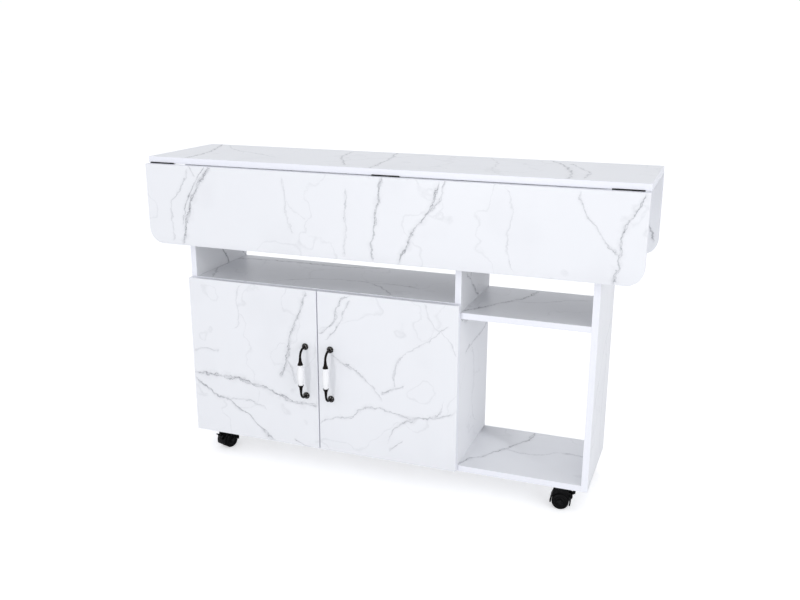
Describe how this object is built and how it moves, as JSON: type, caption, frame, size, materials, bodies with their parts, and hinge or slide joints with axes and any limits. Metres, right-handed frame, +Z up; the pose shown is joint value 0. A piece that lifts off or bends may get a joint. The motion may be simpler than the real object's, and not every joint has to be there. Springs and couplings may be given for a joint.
{
  "type": "drop-leaf serving trolley",
  "caption": "Narrow rolling serving table with a hinged leaf along each long side, a two-door cabinet, open bays and braked swivel castors.",
  "frame": {"origin": "on the floor under the middle of the whole table at rest, leaves hanging", "axes": "+X along the top towards the open bays, -Y towards whoever faces the doors, +Z up"},
  "size_m": [1.2, 0.3402, 0.777],
  "materials": {
    "marble_laminate": "satin marble-patterned laminate on board",
    "back_board": "matt white backing board",
    "black_steel": "black powder-coated steel",
    "plain_steel": "nickel-plated steel",
    "zinc": "cast zinc",
    "beech": "plain beech",
    "bronze": "dark antique bronze",
    "ceramic": "glazed white ceramic",
    "black_plastic": "black nylon",
    "wheel_plastic": "black nylon"
  },
  "bodies": {
    "carcass": {"top_panel": "marble_laminate", "left_side_panel": "marble_laminate", "right_side_panel": "marble_laminate", "divider_panel": "marble_laminate", "floor_panel": "marble_laminate", "cabinet_roof": "marble_laminate", "open_shelf": "marble_laminate", "cabinet_back": "back_board", "leaf_hinge_top_plates": "black_steel", "leaf_hinge_pins": "plain_steel", "frame_screws": "plain_steel", "cam_bolts": "zinc", "cam_nuts": "zinc", "dowels": "beech", "door_hinge_arms": "plain_steel", "door_hinge_base_plates": "plain_steel", "castor_plates": "black_steel", "castor_kingpins": "plain_steel"},
    "front_leaf": {"front_leaf": "marble_laminate", "front_leaf_hinge_plates": "black_steel", "front_leaf_screws": "plain_steel"},
    "back_leaf": {"back_leaf": "marble_laminate", "back_leaf_hinge_plates": "black_steel", "back_leaf_screws": "plain_steel"},
    "left_door_links": {"left_hinge_links": "plain_steel"},
    "left_door": {"left_door": "marble_laminate", "left_hinge_cups": "plain_steel", "left_cup_screws": "plain_steel", "left_pull_upper_arm": "bronze", "left_pull_lower_arm": "bronze", "left_pull_grip": "ceramic", "left_pull_screws": "plain_steel"},
    "right_door_links": {"right_hinge_links": "plain_steel"},
    "right_door": {"right_door": "marble_laminate", "right_hinge_cups": "plain_steel", "right_cup_screws": "plain_steel", "right_pull_upper_arm": "bronze", "right_pull_lower_arm": "bronze", "right_pull_grip": "ceramic", "right_pull_screws": "plain_steel"},
    "front_right_castor": {"front_right_castor_housing": "black_plastic", "front_right_castor_pins": "black_steel"},
    "front_right_wheel_a": {"front_right_castor_wheel_a": "wheel_plastic"},
    "front_right_wheel_b": {"front_right_castor_wheel_b": "wheel_plastic"},
    "front_right_brake": {"front_right_castor_brake": "black_plastic"},
    "front_left_castor": {"front_left_castor_housing": "black_plastic", "front_left_castor_pins": "black_steel"},
    "front_left_wheel_a": {"front_left_castor_wheel_a": "wheel_plastic"},
    "front_left_wheel_b": {"front_left_castor_wheel_b": "wheel_plastic"},
    "front_left_brake": {"front_left_castor_brake": "black_plastic"},
    "rear_right_castor": {"rear_right_castor_housing": "black_plastic", "rear_right_castor_pins": "black_steel"},
    "rear_right_wheel_a": {"rear_right_castor_wheel_a": "wheel_plastic"},
    "rear_right_wheel_b": {"rear_right_castor_wheel_b": "wheel_plastic"},
    "rear_right_brake": {"rear_right_castor_brake": "black_plastic"},
    "rear_left_castor": {"rear_left_castor_housing": "black_plastic", "rear_left_castor_pins": "black_steel"},
    "rear_left_wheel_a": {"rear_left_castor_wheel_a": "wheel_plastic"},
    "rear_left_wheel_b": {"rear_left_castor_wheel_b": "wheel_plastic"},
    "rear_left_brake": {"rear_left_castor_brake": "black_plastic"}
  },
  "joints": [
    {"name": "front_leaf_fold", "type": "hinge", "parent": "carcass", "child": "front_leaf", "pos_m": [0, -0.13662, 0.76125], "axis": [-1, 0, 0], "range_deg": [0, 90]},
    {"name": "back_leaf_fold", "type": "hinge", "parent": "carcass", "child": "back_leaf", "pos_m": [0, 0.15438, 0.76125], "axis": [1, 0, 0], "range_deg": [0, 90]},
    {"name": "left_link_turn", "type": "hinge", "parent": "carcass", "child": "left_door_links", "pos_m": [-0.484, -0.12062, 0.2705], "axis": [0, 0, -1], "range_deg": [-31.7, 0]},
    {"name": "left_door_swing", "type": "hinge", "parent": "left_door_links", "child": "left_door", "pos_m": [-0.5015, -0.12162, 0.2705], "axis": [0, 0, -1], "range_deg": [0, 126.6]},
    {"name": "right_link_turn", "type": "hinge", "parent": "carcass", "child": "right_door_links", "pos_m": [0.174, -0.12062, 0.2705], "axis": [0, 0, 1], "range_deg": [-31.7, 0]},
    {"name": "right_door_swing", "type": "hinge", "parent": "right_door_links", "child": "right_door", "pos_m": [0.1915, -0.12162, 0.2705], "axis": [0, 0, 1], "range_deg": [0, 126.6]},
    {"name": "front_right_swivel", "type": "hinge", "parent": "carcass", "child": "front_right_castor", "pos_m": [0.458, -0.08912, 0.05], "axis": [0, 0, 1], "continuous": true},
    {"name": "front_right_wheel_a_roll", "type": "hinge", "parent": "front_right_castor", "child": "front_right_wheel_a", "pos_m": [0.44605, -0.09017, 0.02], "axis": [0.0872, -0.9962, 0], "continuous": true},
    {"name": "front_right_wheel_b_roll", "type": "hinge", "parent": "front_right_castor", "child": "front_right_wheel_b", "pos_m": [0.44605, -0.09017, 0.02], "axis": [0.0872, -0.9962, 0], "continuous": true},
    {"name": "front_right_brake_tip", "type": "hinge", "parent": "front_right_castor", "child": "front_right_brake", "pos_m": [0.46995, -0.08808, 0.036], "axis": [-0.0872, 0.9962, 0], "range_deg": [0, 18]},
    {"name": "front_left_swivel", "type": "hinge", "parent": "carcass", "child": "front_left_castor", "pos_m": [-0.458, -0.08912, 0.05], "axis": [0, 0, 1], "continuous": true},
    {"name": "front_left_wheel_a_roll", "type": "hinge", "parent": "front_left_castor", "child": "front_left_wheel_a", "pos_m": [-0.4539, -0.07785, 0.02], "axis": [-0.9397, 0.342, 0], "continuous": true},
    {"name": "front_left_wheel_b_roll", "type": "hinge", "parent": "front_left_castor", "child": "front_left_wheel_b", "pos_m": [-0.4539, -0.07785, 0.02], "axis": [-0.9397, 0.342, 0], "continuous": true},
    {"name": "front_left_brake_tip", "type": "hinge", "parent": "front_left_castor", "child": "front_left_brake", "pos_m": [-0.4621, -0.1004, 0.036], "axis": [0.9397, -0.342, 0], "range_deg": [0, 18]},
    {"name": "rear_right_swivel", "type": "hinge", "parent": "carcass", "child": "rear_right_castor", "pos_m": [0.458, 0.10687, 0.05], "axis": [0, 0, 1], "continuous": true},
    {"name": "rear_right_wheel_a_roll", "type": "hinge", "parent": "rear_right_castor", "child": "rear_right_wheel_a", "pos_m": [0.46783, 0.11376, 0.02], "axis": [-0.5736, 0.8192, 0], "continuous": true},
    {"name": "rear_right_wheel_b_roll", "type": "hinge", "parent": "rear_right_castor", "child": "rear_right_wheel_b", "pos_m": [0.46783, 0.11376, 0.02], "axis": [-0.5736, 0.8192, 0], "continuous": true},
    {"name": "rear_right_brake_tip", "type": "hinge", "parent": "rear_right_castor", "child": "rear_right_brake", "pos_m": [0.44817, 0.09999, 0.036], "axis": [0.5736, -0.8192, 0], "range_deg": [0, 18]},
    {"name": "rear_left_swivel", "type": "hinge", "parent": "carcass", "child": "rear_left_castor", "pos_m": [-0.458, 0.10687, 0.05], "axis": [0, 0, 1], "continuous": true},
    {"name": "rear_left_wheel_a_roll", "type": "hinge", "parent": "rear_left_castor", "child": "rear_left_wheel_a", "pos_m": [-0.46839, 0.11288, 0.02], "axis": [-0.5, -0.866, 0], "continuous": true},
    {"name": "rear_left_wheel_b_roll", "type": "hinge", "parent": "rear_left_castor", "child": "rear_left_wheel_b", "pos_m": [-0.46839, 0.11288, 0.02], "axis": [-0.5, -0.866, 0], "continuous": true},
    {"name": "rear_left_brake_tip", "type": "hinge", "parent": "rear_left_castor", "child": "rear_left_brake", "pos_m": [-0.44761, 0.10088, 0.036], "axis": [0.5, 0.866, 0], "range_deg": [0, 18]}
  ],
  "couplings": [
    {"joint": "left_link_turn", "follows": "left_door_swing", "ratio": -0.25},
    {"joint": "right_link_turn", "follows": "right_door_swing", "ratio": -0.25}
  ]
}
